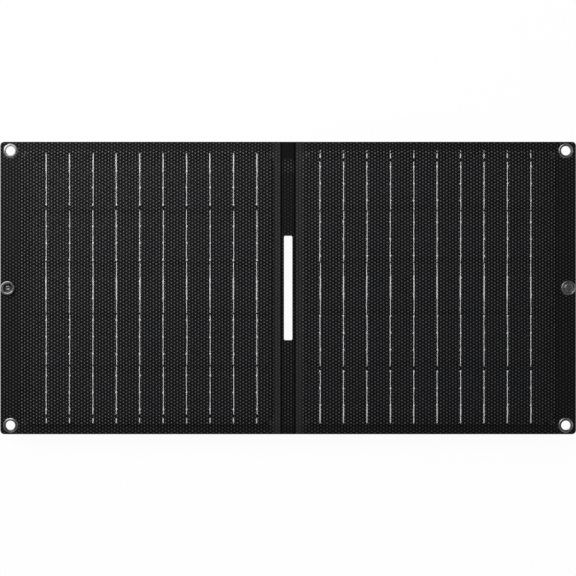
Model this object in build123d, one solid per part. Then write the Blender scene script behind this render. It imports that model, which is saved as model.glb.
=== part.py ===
"""Two-wing folding solar charger, opened flat: laminated wings, soft spine and output box.

The charging face looks along +Z. X runs across the two wings and Y along the spine. The origin
lies under the middle of the spine, level with the underside of the output box.
"""
from build123d import *
import os
from math import atan2, degrees

# ------------------------------------------------------------------ cells and their ribbons
cell_length = 182.0          # a fifth-cut 182 mm cell lies with its long side across the wing
cell_width = 36.4
cell_thickness = 0.2
cell_rows = 5
row_gap = 3.6
ribbon_count = 10
ribbon_width = 0.9
ribbon_thickness = 0.25
ribbon_edge = 10.0           # first ribbon's distance from the cell's end
ribbon_setback = 2.4         # a ribbon starts this far inside the cell's edge
ribbon_back_run = 31.0       # length soldered to the back of the next cell
ribbon_exit = 8.2            # last row's ribbons run this far past the cells
ribbon_stub = 4.9            # first row's ribbons run this far past the cells
ribbon_step = 2.0            # length over which a ribbon changes level
ribbon_run_on = 0.4          # last row's ribbons leave the cell by this much before they step down
bus_width = 4.0
bus_thickness = 0.15
bus_side_margin = 0.1        # bus bars lie this far inside the board's edge
bus_end_margin = 2.0         # bus bars stop this far inside the cell's outer end
lead_width = 2.6
lead_thickness = 0.1
lead_wire_radius = 0.5
lead_hole_radius = 0.8

# ------------------------------------------------------------------ borders, spine and slot
outer_border = 15.6          # flat border at the outer side
inner_border = 5.4           # flat border beside the spine
end_border = 6.85            # flat border at the two ends
cell_margin_outer = 9.4      # raised panel beyond the cells, outer side
cell_margin_inner = 3.1      # raised panel beyond the cells, spine side
cell_margin_exit = 9.05      # raised panel beyond the cells, where the ribbons leave
cell_margin_stub = 5.85
spine_width = 12.0
crease_width = 1.6           # soft strip that bends at each side of the spine
slot_length = 80.2
slot_width = 6.4
slot_radius = 1.1
corner_radius = 3.2
raised_radius = 10.0
slope_width = 1.2            # run of the sloping edge round the raised panel
stack_inset = 0.3            # layers stop this far inside the top of the slope

# ------------------------------------------------------------------ layer thicknesses
fabric_thickness = 0.5
border_bond = 0.3
film_thickness = 0.25
board_thickness = 1.0
rear_encapsulant = 0.4
front_cover = 0.25           # encapsulant over the ribbons

# ------------------------------------------------------------------ eyelets and snap
eyelet_inset_x = 7.9
eyelet_inset_y = 6.9
eyelet_bore = 3.55
eyelet_wall = 0.35
eyelet_flange = 5.65
eyelet_flange_height = 0.45
eyelet_curl = 4.8
washer_thickness = 0.35
snap_inset = 6.0
snap_radius = 5.6
socket_height = 2.8
socket_cavity = 3.4
socket_floor = 0.4
socket_rivet = 1.9
socket_rivet_height = 1.1
socket_dimple = 0.8
ring_wire = 0.3              # half the height of the undercut that holds the spring ring
ring_slack = 0.05            # the ring's wire is thinner than its undercut by this much
ring_spring = 0.1            # the ring stands this far into the cavity
boss_radius = 3.1
boss_height = 2.5
stud_rim_height = 0.8
stud_rim_width = 1.0
stud_groove_floor = 0.4
shank_radius = 1.4
rivet_cap_thickness = 0.6
ring_drop = 1.0              # the spring ring lies this far under the socket's rim
ring_open_angle = 20         # half the ring's opening, in degrees
rim_round = 0.5              # corners of the socket's rim
edge_break = 0.3             # corners of the rivet and of the stud's rim
dimple_depth = 0.5
stud_bore_height = 1.2       # the rivet reaches this far into the stud's boss
stud_neck = 0.2              # the boss narrows by this much under its head
stud_head_rise = 0.4         # run of the slope from the neck to the head
boss_round = 0.35
rivet_cap_radius = 5.5

# ------------------------------------------------------------------ output box
box_length = 86.0
box_width = 56.0
box_depth = 13.0
box_radius = 8.0
box_wall = 2.4
lid_floor = 1.6
base_plate = 1.6
box_edge_fillet = 1.5
gasket_width = 0.9
gasket_depth = 0.6
pcb_thickness = 1.2
pcb_clear_x = 1.6            # board edge to the inside of the wall
pcb_clear_y = 2.6
post_height = 2.0
boss_outer = 3.0
screw_inset = 7.0            # screw centre from the box's side
screw_radius = 1.25
screw_clearance = 0.15
screw_head_radius = 2.3
screw_head_height = 1.8
screw_head_sink = 0.4
screw_head_round = 0.5
screw_stop = 0.6             # screw holes stop this far from the back of the base plate
cross_length = 2.4
cross_width = 0.6
cross_depth = 0.8
pcb_radius = 2.0
recess_left = -24.0          # port recess along the box, from the box's middle
recess_right = 23.4
recess_depth = 1.3
recess_top = 10.2
cover_gap = 0.3
cover_thickness = 1.1
barrel_radius = 1.0
barrel_gap = 0.25
cover_end_gap = 1.6          # finger gap at the cover's free end
grip_ribs = 4
grip_pitch = 1.6
grip_width = 0.8
grip_height = 0.35
grip_margin = 1.2            # ribs stop this far inside the cover's sides
pin_radius = 0.5
pin_clearance = 0.05
pin_foot = 0.3               # the pin starts this far above the lid's underside
pin_over = 0.5               # and runs this far past the recess
hinge_inset_x = 1.8
hinge_inset_y = 0.6
usb_a_centre = -9.0
usb_a_size = (13.2, 14.0, 5.7)
usb_a_sheet = 0.35
usb_a_plug_depth = 1.6       # depth of the moulding that closes a shell's back
usb_a_tongue_size = (10.8, 1.8)
usb_a_tongue_gap = 0.6       # from the tongue to the shell's roof
usb_a_tongue_back = 1.2      # the tongue starts this far inside the mouth
usb_c_centre = 12.0
usb_c_size = (8.9, 8.0, 3.2)
usb_c_sheet = 0.3
usb_c_plug_depth = 1.2
usb_c_tongue_size = (6.6, 0.7)
usb_c_tongue_back = 0.8
port_clearance = 0.15
port_setback = 0.1           # shells stand this far behind the recess floor
lens_centre = 27.5
lens_radius = 1.2
lens_drop = 1.0              # its axis lies this far under the circuit board
lens_gap = 0.4               # from the light pipe's end to the indicator's line
led_size = (1.6, 1.6, 1.2)
led_setback = 0.2
inductor_place = (-24.0, 6.0)
inductor_size = (8.0, 8.0, 4.0)
inductor_radius = 1.2
capacitor_places = ((6.0, 12.0), (13.0, 12.0))
capacitor_radius = 2.5
capacitor_height = 5.4
chip_place = (-7.5, 8.5)
chip_size = (6.0, 5.0, 1.4)
lead_row = 12.0              # where both leads drop into the box, from its middle

# ------------------------------------------------------------------ worked-out sizes
cells_height = cell_rows * cell_width + (cell_rows - 1) * row_gap
wing_end = spine_width / 2 + inner_border + cell_margin_inner + cell_length \
    + cell_margin_outer + outer_border
overall_length = 2 * wing_end
overall_width = cells_height + cell_margin_exit + cell_margin_stub + 2 * end_border
wing_start = spine_width / 2 + crease_width / 2
spine_half = spine_width / 2 - crease_width / 2
raised_in = spine_width / 2 + inner_border
raised_out = wing_end - outer_border
raised_half = overall_width / 2 - end_border
cell_in = raised_in + cell_margin_inner
cell_out = cell_in + cell_length
cell_middle = (cell_in + cell_out) / 2
block_low = -raised_half + cell_margin_stub
block_high = block_low + cells_height
ribbon_pitch = (cell_length - 2 * ribbon_edge) / (ribbon_count - 1)

fabric_back = box_depth
fabric_front = fabric_back + fabric_thickness
border_top = fabric_front + border_bond
border_face = border_top + film_thickness
board_front = fabric_front + board_thickness
cell_back = board_front + rear_encapsulant
cell_front = cell_back + cell_thickness
stack_top = cell_front + ribbon_thickness + front_cover
raised_face = stack_top + film_thickness
slope_angle = degrees(atan2(slope_width, stack_top - border_top))
hinge_height = (fabric_back + border_face) / 2

board_edge_x = raised_in + slope_width + stack_inset
board_edge_y = raised_half - slope_width - stack_inset
bus_y = board_edge_y - bus_side_margin - bus_width / 2
bus_start = cell_out - bus_end_margin
bus_stop = raised_in + raised_radius
link_y = overall_width / 2 - end_border / 2
return_x = (wing_start + raised_in) / 2

pcb_top = box_depth - base_plate - post_height
pcb_bottom = pcb_top - pcb_thickness
screw_x = box_length / 2 - screw_inset
screw_y = box_width / 2 - screw_inset
hinge_x = recess_left + hinge_inset_x
hinge_y = -box_width / 2 + hinge_inset_y
recess_floor = -box_width / 2 + recess_depth
port_front = recess_floor + port_setback
lens_height = pcb_bottom - lens_drop

os.makedirs("parts", exist_ok=True)


# ------------------------------------------------------------------ helpers
def slab(sketch, z_low, z_high):
    """A flat plate of the sketch's outline between two heights."""
    return Pos(0, 0, z_low) * extrude(sketch, amount=z_high - z_low)


def block(x_low, x_high, y_low, y_high, z_low, z_high):
    """A box between two corners."""
    size = (x_high - x_low, y_high - y_low, z_high - z_low)
    middle = ((x_low + x_high) / 2, (y_low + y_high) / 2, (z_low + z_high) / 2)
    return Pos(*middle) * Box(*size)


def rod(radius, x, y, z_low, z_high):
    """An upright cylinder."""
    return Pos(x, y, (z_low + z_high) / 2) * Cylinder(radius, z_high - z_low)


def turned(points, x=0.0, y=0.0):
    """A solid of revolution about an upright axis, from (radius, height) corners."""
    face = make_face(Plane.XZ * Polyline(*points, close=True))
    return Pos(x, y, 0) * revolve(face, Axis.Z, 360)


def strip_along_y(points, thickness, x_low, x_high):
    """A bent strip: (y, underside height) points, extruded across X."""
    top = [(y, z + thickness) for y, z in reversed(points)]
    face = make_face(Plane.YZ * Polyline(*points, *top, close=True))
    return Pos(x_low, 0, 0) * extrude(face, amount=x_high - x_low, dir=(1, 0, 0))


def strip_along_x(points, thickness, y_low, y_high):
    """A bent strip: (x, underside height) points, extruded across Y."""
    top = [(x, z + thickness) for x, z in reversed(points)]
    face = make_face(Plane.XZ * Polyline(*points, *top, close=True))
    return Pos(0, y_low, 0) * extrude(face, amount=y_high - y_low, dir=(0, 1, 0))


def right_side(shape):
    """The other wing is the same wing turned half round about the spine's middle."""
    return Rot(0, 0, 180) * shape


def save(name, *shapes):
    """Write one node: one solid, or a group of separate solids."""
    solids = []
    for shape in shapes:
        solids.extend(shape.solids())
    node = solids[0] if len(solids) == 1 else Compound(children=solids)
    export_step(node, f"parts/{name}.step")
    print(f"{name}: {len(solids)} solid(s)")


# ------------------------------------------------------------------ laminate layers of a wing
def panel_outline(x_low, x_high):
    """The whole panel's rounded outline, cut to a band of X."""
    whole = RectangleRounded(overall_length, overall_width, corner_radius)
    band = Pos((x_low + x_high) / 2, 0) * Rectangle(x_high - x_low, overall_width + 1)
    return whole & band


def raised_outline(inset):
    """Outline of the left wing's raised panel, drawn in by an inset."""
    size_x = raised_out - raised_in - 2 * inset
    size_y = 2 * (raised_half - inset)
    middle = -(raised_in + raised_out) / 2
    return Pos(middle, 0) * RectangleRounded(size_x, size_y, raised_radius - inset)


def raised_form(z_low):
    """The sloping-sided form of the raised panel, standing on a height."""
    rise = stack_top - border_top
    return Pos(0, 0, z_low) * extrude(raised_outline(0), amount=rise, taper=slope_angle)


def eyelet_places():
    """Centres of the left wing's two eyelets."""
    x = -(wing_end - eyelet_inset_x)
    y = overall_width / 2 - eyelet_inset_y
    return [(x, y), (x, -y)]


snap_x = -(wing_end - snap_inset)


def fastener_holes():
    """Holes through the border for the eyelets' barrels and the snap's shank."""
    holes = [rod(eyelet_bore + eyelet_wall, x, y, 0, raised_face + 5) for x, y in eyelet_places()]
    holes.append(rod(shank_radius, snap_x, 0, 0, raised_face + 5))
    return holes


def lead_places():
    """Where the two leads drop through to the output box."""
    return [(-cell_middle - ribbon_pitch, lead_row), (-cell_middle + ribbon_pitch, lead_row)]


def front_film():
    film = slab(panel_outline(-wing_end, -wing_start), border_top, border_face)
    film += raised_form(border_face)
    film -= raised_form(border_top)
    for hole in fastener_holes():
        film -= hole
    return film


def edge_encapsulant(conductors):
    """The bond in the border, with the fillet that it makes round the raised layers."""
    ring = slab(panel_outline(-wing_end, -wing_start), fabric_front, border_top)
    ring += raised_form(border_top)
    ring -= slab(raised_outline(slope_width + stack_inset), fabric_front, stack_top)
    return ring.cut(*fastener_holes(), *conductors)


def stiffener_board(with_leads):
    board = slab(raised_outline(slope_width + stack_inset), fabric_front, board_front)
    if with_leads:
        for x, y in lead_places():
            board -= rod(lead_hole_radius, x, y, fabric_front, board_front)
    return board


def rear_fabric(with_leads):
    fabric = slab(panel_outline(-wing_end, -wing_start), fabric_back, fabric_front)
    holes = fastener_holes()
    if with_leads:
        holes += [rod(lead_hole_radius, x, y, fabric_back, fabric_front) for x, y in lead_places()]
    for hole in holes:
        fabric -= hole
    return fabric


def row_low(row):
    """Lower edge of a cell row, counted from the stub end."""
    return block_low + row * (cell_width + row_gap)


def cell_strip(row):
    low = row_low(row)
    return block(-cell_out, -cell_in, low, low + cell_width, cell_back, cell_front)


def ribbon_profile(row):
    """(y, underside height) path of the ribbons that leave the front of a row; -1 is the stub."""
    back = cell_back - ribbon_thickness
    bus = board_front + bus_thickness
    next_low = row_low(row + 1)
    if row < 0:
        return [(next_low - ribbon_stub, bus), (next_low + ribbon_back_run, bus)]
    start = row_low(row) + ribbon_setback
    high = row_low(row) + cell_width
    if row == cell_rows - 1:
        leave = high + ribbon_run_on
        return [(start, cell_front), (leave, cell_front), (leave + ribbon_step, bus),
                (high + ribbon_exit, bus)]
    step = (row_gap - ribbon_step) / 2
    return [(start, cell_front), (high + step, cell_front), (next_low - step, back),
            (next_low + ribbon_back_run, back)]


def cell_ribbons():
    """Ten ribbons on each row, and ten stubs at the end where the string starts."""
    ribbons = []
    for row in range(-1, cell_rows):
        for k in range(ribbon_count):
            middle = -cell_out + ribbon_edge + k * ribbon_pitch
            ribbons.append(strip_along_y(ribbon_profile(row), ribbon_thickness,
                                         middle - ribbon_width / 2, middle + ribbon_width / 2))
    return ribbons


def bus_bar(side, with_tail):
    """A black-coated bus bar across the ribbons' ends; side is 1 at their exit, -1 at the stubs.

    With a tail it steps down into the end border and runs on to the crease.
    """
    half = bus_width / 2
    bar = block(-bus_start, -bus_stop, bus_y - half, bus_y + half,
                board_front, board_front + bus_thickness)
    if with_tail:
        path = [(bus_y, board_front), (board_edge_y, board_front), (raised_half, fabric_front),
                (link_y + half, fabric_front)]
        bar += strip_along_y(path, bus_thickness, -bus_stop - bus_width, -bus_stop)
        bar += block(-bus_stop, -wing_start, link_y - half, link_y + half,
                     fabric_front, fabric_front + bus_thickness)
    return bar if side > 0 else mirror(bar, about=Plane.XZ)


def drop_wire(place):
    """The round wire that takes a lead down through the laminate to the circuit board."""
    return rod(lead_wire_radius, place[0], place[1], pcb_top, board_front + lead_thickness)


def negative_lead():
    place = lead_places()[0]
    half = lead_width / 2
    flat = block(place[0] - half, place[0] + half, -bus_y + bus_width / 2, place[1] + half,
                 board_front, board_front + lead_thickness)
    return flat + drop_wire(place)


def return_lead():
    """Brings the far wing's current back from the spine, along the inner border, to the box."""
    place = lead_places()[1]
    half = lead_width / 2
    front = fabric_front + lead_thickness
    entry = block(-return_x - half, -wing_start, -link_y - half, -link_y + half,
                  fabric_front, front)
    riser = block(-return_x - half, -return_x + half, -link_y - half, place[1] + half,
                  fabric_front, front)
    path = [(place[0] - half, board_front), (-board_edge_x, board_front),
            (-raised_in, fabric_front), (-return_x - half, fabric_front)]
    climb = strip_along_x(path, lead_thickness, place[1] - half, place[1] + half)
    return entry + riser + climb + drop_wire(place)


def rear_encapsulant_sheet(buried):
    sheet = slab(raised_outline(slope_width + stack_inset), board_front, cell_back)
    return sheet.cut(*buried)


def front_encapsulant_sheet(buried):
    sheet = slab(raised_outline(slope_width + stack_inset), cell_back, stack_top)
    return sheet.cut(*buried)


# ------------------------------------------------------------------ metal fittings
def eyelet(x, y):
    """Flanged eyelet, rolled over its washer on the back."""
    washer_face = fabric_back - washer_thickness
    top = border_face + eyelet_flange_height
    outer = eyelet_bore + eyelet_wall
    curl_back = washer_face - eyelet_wall
    lip = eyelet_flange_height / 2
    points = [(eyelet_bore, curl_back), (eyelet_curl, curl_back), (eyelet_curl, washer_face),
              (outer, washer_face), (outer, border_face), (eyelet_flange, border_face),
              (eyelet_flange, top - lip), (eyelet_flange - lip, top), (eyelet_bore, top)]
    return turned(points, x, y)


def eyelet_washer(x, y):
    outer = eyelet_bore + eyelet_wall
    points = [(outer, fabric_back - washer_thickness), (eyelet_flange, fabric_back - washer_thickness),
              (eyelet_flange, fabric_back), (outer, fabric_back)]
    return turned(points, x, y)


def snap_socket():
    """Female half of the ring snap, with an undercut that holds the spring ring."""
    z = border_face
    ring_z = z + socket_height - ring_drop
    undercut = socket_cavity + 2 * ring_wire
    top = z + socket_height
    points = [(shank_radius, z), (snap_radius, z), (snap_radius, top - rim_round),
              (snap_radius - rim_round, top), (socket_cavity + rim_round, top),
              (socket_cavity, top - rim_round), (socket_cavity, ring_z + ring_wire),
              (undercut, ring_z + ring_wire), (undercut, ring_z - ring_wire),
              (socket_cavity, ring_z - ring_wire), (socket_cavity, z + socket_floor),
              (shank_radius, z + socket_floor)]
    return turned(points, snap_x, 0)


def snap_spring_ring():
    """Round wire ring, open at one side, in the socket's undercut."""
    ring_z = border_face + socket_height - ring_drop
    middle = socket_cavity + ring_wire - ring_spring
    arc = CenterArc((0, 0), middle, ring_open_angle, 360 - 2 * ring_open_angle)
    path = Pos(snap_x, 0, ring_z) * arc
    section = Plane(origin=path @ 0, z_dir=path % 0) * Circle(ring_wire - ring_slack)
    return sweep(section, path=path)


def snap_socket_rivet():
    """Rivet from the back, rolled over in the middle of the socket's floor."""
    z = border_face
    roll = z + socket_floor
    top = z + socket_rivet_height
    back = fabric_back - rivet_cap_thickness
    points = [(0, back), (rivet_cap_radius, back), (rivet_cap_radius, fabric_back),
              (shank_radius, fabric_back), (shank_radius, roll), (socket_rivet, roll),
              (socket_rivet, top - edge_break), (socket_rivet - edge_break, top),
              (socket_dimple, top), (socket_dimple - edge_break, top - dimple_depth),
              (0, top - dimple_depth)]
    return turned(points, snap_x, 0)


def snap_stud():
    """Male half of the ring snap: a rimmed base with a flat-topped boss."""
    z = border_face
    bore_top = z + stud_bore_height
    rim_inner = snap_radius - stud_rim_width
    neck = boss_radius - stud_neck
    rim_top = z + stud_rim_height
    points = [(0, bore_top), (shank_radius, bore_top), (shank_radius, z), (snap_radius, z),
              (snap_radius, rim_top - edge_break), (snap_radius - edge_break, rim_top),
              (rim_inner + edge_break, rim_top), (rim_inner, z + stud_groove_floor),
              (neck, z + stud_groove_floor), (neck, bore_top),
              (boss_radius, bore_top + stud_head_rise), (boss_radius, z + boss_height - boss_round),
              (boss_radius - boss_round, z + boss_height), (0, z + boss_height)]
    return turned(points, -snap_x, 0)


def snap_stud_rivet():
    back = fabric_back - rivet_cap_thickness
    points = [(0, back), (rivet_cap_radius, back), (rivet_cap_radius, fabric_back),
              (shank_radius, fabric_back), (shank_radius, border_face + stud_bore_height),
              (0, border_face + stud_bore_height)]
    return turned(points, -snap_x, 0)


# ------------------------------------------------------------------ spine
def spine_layer(z_low, z_high):
    """One layer of the spine, with the hand slot through it."""
    layer = slab(panel_outline(-spine_half, spine_half), z_low, z_high)
    slot = RectangleRounded(slot_width, slot_length, slot_radius)
    return layer - slab(slot, z_low, z_high)


def spine_jumpers():
    """Flat conductors across the spine: the series link at one end, the return at the other."""
    jumpers = []
    for y in (link_y, -link_y):
        jumpers.append(block(-spine_half, spine_half, y - bus_width / 2, y + bus_width / 2,
                             fabric_front, fabric_front + bus_thickness))
    return jumpers


def crease_strip(side):
    x_low = side * spine_width / 2 - crease_width / 2
    return slab(panel_outline(x_low, x_low + crease_width), fabric_back, border_face)


# ------------------------------------------------------------------ output box, about its middle
def at_box(shape):
    return Pos(-cell_middle, 0, 0) * shape


def box_outline(inset):
    return RectangleRounded(box_length - 2 * inset, box_width - 2 * inset, box_radius - inset)


def screw_places():
    return [(x, y) for x in (-screw_x, screw_x) for y in (-screw_y, screw_y)]


def box_lid():
    """Deep cover with the port recess in its side wall."""
    rim = box_depth - base_plate
    lid = slab(box_outline(0), 0, rim)
    lid = fillet(lid.edges().group_by(Axis.Z)[0], box_edge_fillet)
    lid -= slab(box_outline(box_wall), lid_floor, rim)
    groove = (box_wall - gasket_width) / 2
    lid -= slab(box_outline(groove) - box_outline(groove + gasket_width), rim - gasket_depth, rim)
    for x, y in screw_places():
        lid += rod(boss_outer, x, y, lid_floor, pcb_bottom)
    for x, y in screw_places():
        lid -= rod(screw_radius + screw_clearance, x, y, 0, pcb_bottom)
        lid -= rod(screw_head_radius + screw_clearance, x, y, 0, screw_head_sink + screw_head_height)
    lid -= block(recess_left, recess_right, -box_width / 2 - 1, recess_floor, lid_floor, recess_top)
    lid -= rod(barrel_radius + barrel_gap, hinge_x, hinge_y, lid_floor, recess_top)
    lid -= rod(pin_radius + pin_clearance / 2, hinge_x, hinge_y, 0, recess_top + pin_over)
    lid -= port_window(usb_a_centre, usb_a_size)
    lid -= port_window(usb_c_centre, usb_c_size)
    lid -= Pos(lens_centre, -box_width / 2, lens_height) * Rot(90, 0, 0) \
        * Cylinder(lens_radius, 4 * box_wall)
    return at_box(lid)


def port_window(centre, size):
    """Opening in the wall that clears a port's shell."""
    half = size[0] / 2 + port_clearance
    return block(centre - half, centre + half, -box_width / 2, -box_width / 2 + 2 * box_wall,
                 pcb_bottom - size[2] - port_clearance, pcb_bottom + port_clearance)


def box_base():
    """Plate bonded to the fabric, with the posts that carry the circuit board."""
    base = slab(box_outline(0), box_depth - base_plate, box_depth)
    for x, y in screw_places():
        base += rod(boss_outer, x, y, pcb_top, box_depth - base_plate)
    for x, y in screw_places():
        base -= rod(screw_radius, x, y, pcb_top, box_depth - screw_stop)
    for x, y in lead_places():
        base -= rod(lead_hole_radius, x + cell_middle, y, 0, box_depth)
    return at_box(base)


def box_gasket():
    groove = (box_wall - gasket_width) / 2
    rim = box_depth - base_plate
    ring = box_outline(groove) - box_outline(groove + gasket_width)
    return at_box(slab(ring, rim - gasket_depth, rim))


def box_screws():
    """Pan-head screws with a cross recess, entering from the lid's underside."""
    screws = []
    head_top = screw_head_sink + screw_head_height
    for x, y in screw_places():
        screw = rod(screw_head_radius, x, y, screw_head_sink, head_top)
        screw = fillet(screw.edges().group_by(Axis.Z)[0], screw_head_round)
        screw += rod(screw_radius, x, y, head_top, box_depth - screw_stop)
        for length, width in ((cross_length, cross_width), (cross_width, cross_length)):
            screw -= Pos(x, y, screw_head_sink + cross_depth / 2) * Box(length, width, cross_depth)
        screws.append(at_box(screw))
    return screws


def circuit_board():
    length = box_length - 2 * (box_wall + pcb_clear_x)
    width = box_width - 2 * (box_wall + pcb_clear_y)
    board = slab(RectangleRounded(length, width, pcb_radius), pcb_bottom, pcb_top)
    for x, y in screw_places():
        board -= rod(screw_radius + screw_clearance, x, y, pcb_bottom, pcb_top)
    return at_box(board)


def usb_a_shell():
    """Folded steel shell, open at the mouth, soldered under the circuit board."""
    width, depth, height = usb_a_size
    front = port_front
    outer = block(-width / 2, width / 2, front, front + depth, pcb_bottom - height, pcb_bottom)
    t = usb_a_sheet
    inner = block(-width / 2 + t, width / 2 - t, front, front + depth,
                  pcb_bottom - height + t, pcb_bottom - t)
    return at_box(Pos(usb_a_centre, 0, 0) * (outer - inner))


def usb_a_tongue():
    width, depth, height = usb_a_size
    t = usb_a_sheet
    back = port_front + depth
    plug = block(-width / 2 + t, width / 2 - t, back - usb_a_plug_depth, back,
                 pcb_bottom - height + t, pcb_bottom - t)
    long, thick = usb_a_tongue_size
    top = pcb_bottom - t - usb_a_tongue_gap
    tongue = block(-long / 2, long / 2, port_front + usb_a_tongue_back, back - usb_a_plug_depth,
                   top - thick, top)
    return at_box(Pos(usb_a_centre, 0, 0) * (plug + tongue))


def usb_c_form(inset, y_low, y_high):
    """Round-ended bar of the small port's section, lying along Y."""
    width, _, height = usb_c_size
    section = SlotOverall(width - 2 * inset, height - 2 * inset)
    bar = extrude(Plane.XZ * section, amount=-(y_high - y_low))
    return Pos(usb_c_centre, y_low, pcb_bottom - height / 2) * bar


def usb_c_shell():
    back = port_front + usb_c_size[1]
    return at_box(usb_c_form(0, port_front, back) - usb_c_form(usb_c_sheet, port_front, back))


def usb_c_tongue():
    back = port_front + usb_c_size[1]
    middle = pcb_bottom - usb_c_size[2] / 2
    plug = usb_c_form(usb_c_sheet, back - usb_c_plug_depth, back)
    long, thick = usb_c_tongue_size
    tongue = block(usb_c_centre - long / 2, usb_c_centre + long / 2,
                   port_front + usb_c_tongue_back, back - usb_c_plug_depth,
                   middle - thick / 2, middle + thick / 2)
    return at_box(plug + tongue)


def inductor():
    length, width, height = inductor_size
    outline = RectangleRounded(length, width, inductor_radius)
    return at_box(Pos(*inductor_place) * slab(outline, pcb_bottom - height, pcb_bottom))


def capacitors():
    """Two upright cans hanging under the circuit board."""
    low = pcb_bottom - capacitor_height
    return [at_box(rod(capacitor_radius, x, y, low, pcb_bottom)) for x, y in capacitor_places]


def controller_chip():
    x, y = chip_place
    length, width, height = chip_size
    return at_box(block(x - length / 2, x + length / 2, y - width / 2, y + width / 2,
                        pcb_bottom - height, pcb_bottom))


def indicator_led():
    length, width, height = led_size
    y = -(box_width / 2 - box_wall - pcb_clear_y) + led_setback
    return at_box(block(lens_centre - length / 2, lens_centre + length / 2, y, y + width,
                        pcb_bottom - height, pcb_bottom))


def indicator_lens():
    """Light pipe through the side wall."""
    y_low = -box_width / 2
    length = box_wall + pcb_clear_y - lens_gap
    pipe = Pos(lens_centre, y_low + length / 2, lens_height) * Rot(90, 0, 0) \
        * Cylinder(lens_radius, length)
    return at_box(pipe)


def port_cover():
    """Hinged cover over the ports, with grip ribs at its free end."""
    z_low = lid_floor + cover_gap
    z_high = recess_top - cover_gap
    face = -box_width / 2
    free_end = recess_right - cover_end_gap
    cover = block(hinge_x, free_end, face, face + cover_thickness, z_low, z_high)
    cover += rod(barrel_radius, hinge_x, hinge_y, z_low, z_high)
    for k in range(grip_ribs):
        x = free_end - grip_pitch * (k + 1)
        cover += block(x - grip_width / 2, x + grip_width / 2, face - grip_height, face,
                       z_low + grip_margin, z_high - grip_margin)
    cover -= rod(pin_radius + pin_clearance, hinge_x, hinge_y, z_low, z_high)
    return at_box(cover)


def port_cover_pin():
    return at_box(rod(pin_radius, hinge_x, hinge_y, pin_foot, recess_top + pin_over))


# ------------------------------------------------------------------ build
def build_wing(side, place, stub_tail):
    """Write one wing's laminate; place puts the left wing's shapes on their side."""
    left = side == "left"
    bars = [bus_bar(1, True), bus_bar(-1, stub_tail)]
    leads = [negative_lead(), return_lead()] if left else []
    ribbons = cell_ribbons()
    cells = [cell_strip(row) for row in range(cell_rows)]
    save(f"{side}_front_film", place(front_film()))
    save(f"{side}_front_encapsulant", place(front_encapsulant_sheet(cells + ribbons)))
    for row, cell in enumerate(cells):
        save(f"{side}_cell_strip_{row + 1}", place(cell))
    save(f"{side}_cell_ribbons", *[place(ribbon) for ribbon in ribbons])
    save(f"{side}_bus_bars", *[place(bar) for bar in bars])
    save(f"{side}_rear_encapsulant", place(rear_encapsulant_sheet(ribbons + bars + leads)))
    save(f"{side}_stiffener_board", place(stiffener_board(left)))
    save(f"{side}_edge_encapsulant", place(edge_encapsulant(ribbons + bars + leads)))
    save(f"{side}_rear_fabric", place(rear_fabric(left)))
    save(f"{side}_eyelets", *[place(eyelet(x, y)) for x, y in eyelet_places()])
    save(f"{side}_eyelet_washers", *[place(eyelet_washer(x, y)) for x, y in eyelet_places()])


def build_spine():
    core = spine_layer(fabric_front, border_top)
    jumpers = spine_jumpers()
    for jumper in jumpers:
        core -= jumper
    save("spine_front_film", spine_layer(border_top, border_face))
    save("spine_core", core)
    save("spine_rear_fabric", spine_layer(fabric_back, fabric_front))
    save("spine_jumpers", *jumpers)
    save("left_crease_strip", crease_strip(-1))
    save("right_crease_strip", crease_strip(1))


def build_fittings():
    save("negative_lead", negative_lead())
    save("return_lead", return_lead())
    save("snap_socket", snap_socket())
    save("snap_spring_ring", snap_spring_ring())
    save("snap_socket_rivet", snap_socket_rivet())
    save("snap_stud", snap_stud())
    save("snap_stud_rivet", snap_stud_rivet())


def build_box():
    save("box_lid", box_lid())
    save("box_base", box_base())
    save("box_gasket", box_gasket())
    save("box_screws", *box_screws())
    save("circuit_board", circuit_board())
    save("usb_a_shell", usb_a_shell())
    save("usb_a_tongue", usb_a_tongue())
    save("usb_c_shell", usb_c_shell())
    save("usb_c_tongue", usb_c_tongue())
    save("inductor", inductor())
    save("capacitors", *capacitors())
    save("controller_chip", controller_chip())
    save("indicator_led", indicator_led())
    save("indicator_lens", indicator_lens())
    save("port_cover", port_cover())
    save("port_cover_pin", port_cover_pin())


build_wing("left", lambda shape: shape, stub_tail=False)
build_wing("right", right_side, stub_tail=True)
build_spine()
build_fittings()
build_box()
print(f"overall {overall_length:.1f} x {overall_width:.1f} mm, hinge height {hinge_height:.3f}")
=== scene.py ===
"""Looks of the folding two-wing solar charger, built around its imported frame.

Lengths inside the classes are millimetres in the part's own frame; meshes are written in metres.
"""

import logging
import math
import random
from dataclasses import dataclass, field
from enum import Enum
from typing import Callable, Dict, Iterable, List, Sequence, Tuple, Union

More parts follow.
